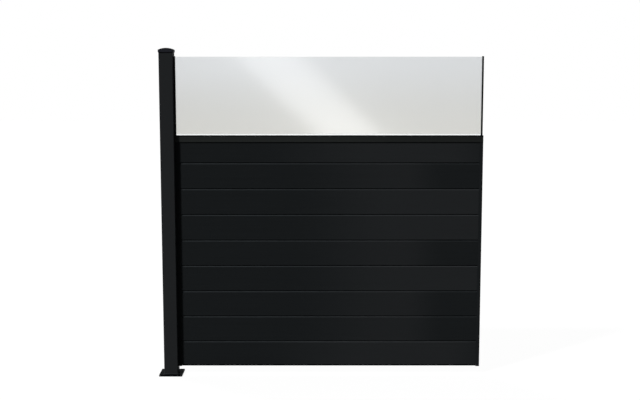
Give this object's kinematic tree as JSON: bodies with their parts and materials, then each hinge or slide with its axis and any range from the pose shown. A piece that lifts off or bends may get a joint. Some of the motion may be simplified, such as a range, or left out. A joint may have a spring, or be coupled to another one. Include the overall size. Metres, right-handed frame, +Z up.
{
  "type": "garden fence bay with one post and a frosted glass top panel",
  "caption": "Composite-board garden fence bay with one aluminium post on a base plate, a metal rail and a frosted glass pane above the boards.",
  "frame": {"origin": "centre of the post's base plate, on its underside", "axes": "+X from the post along the panel to its free end, +Y to the back, +Z up"},
  "size_m": [1.8785, 0.135, 1.904],
  "materials": {
    "powder_coated_aluminium": "anthracite powder coat, fine matt",
    "composite_board": "brushed wood-plastic composite, anthracite",
    "cap_plastic": "moulded plastic, blue-black, satin",
    "black_edging": "black glazing rubber",
    "clear_seal": "clear soft plastic",
    "frosted_glass": "satin frosted toughened glass"
  },
  "bodies": {
    "root": {"base_plate": "powder_coated_aluminium", "post": "powder_coated_aluminium", "post_cap": "cap_plastic", "channel_left": "powder_coated_aluminium", "channel_right": "powder_coated_aluminium", "board_1": "composite_board", "board_2": "composite_board", "board_3": "composite_board", "board_4": "composite_board", "board_5": "composite_board", "board_6": "composite_board", "board_7": "composite_board", "board_8": "composite_board", "board_9": "composite_board", "rail": "powder_coated_aluminium", "glass_edging_left": "black_edging", "glass_edging_right": "black_edging", "glass_seal": "clear_seal", "glass_pane": "frosted_glass"}
  },
  "joints": []
}
